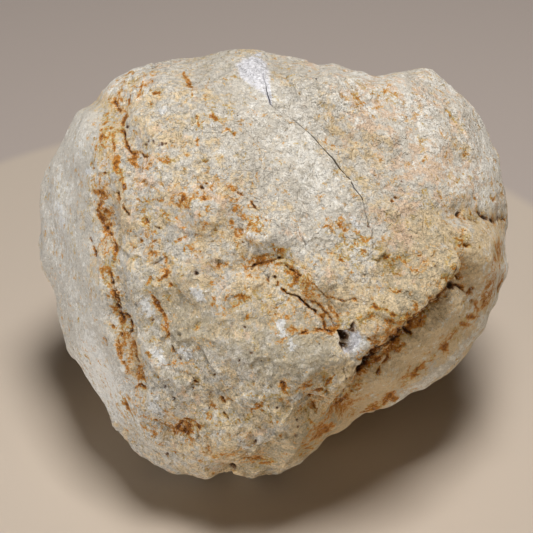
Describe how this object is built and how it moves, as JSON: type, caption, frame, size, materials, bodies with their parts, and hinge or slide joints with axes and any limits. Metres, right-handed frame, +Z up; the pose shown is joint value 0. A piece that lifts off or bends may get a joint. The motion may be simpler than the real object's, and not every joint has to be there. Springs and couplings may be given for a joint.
{
  "type": "halved calcite geode",
  "caption": "Rounded calcite geode with a rough, iron-stained crust, cracked across into two halves that sit closed on a small flat spot.",
  "frame": {"origin": "middle of the base of the bounding box, at the height of the flat spot that the stone rests on", "axes": "+Z up, +X to the right of the broad rough face, -Y the side that the broad face looks towards"},
  "size_m": [0.1114, 0.0946, 0.0928],
  "materials": {
    "calcite_crust": "matt and sugary, whitish beige with orange-brown iron stain in its creases"
  },
  "bodies": {
    "root": {"large_half": "calcite_crust", "small_half": "calcite_crust"}
  },
  "joints": []
}
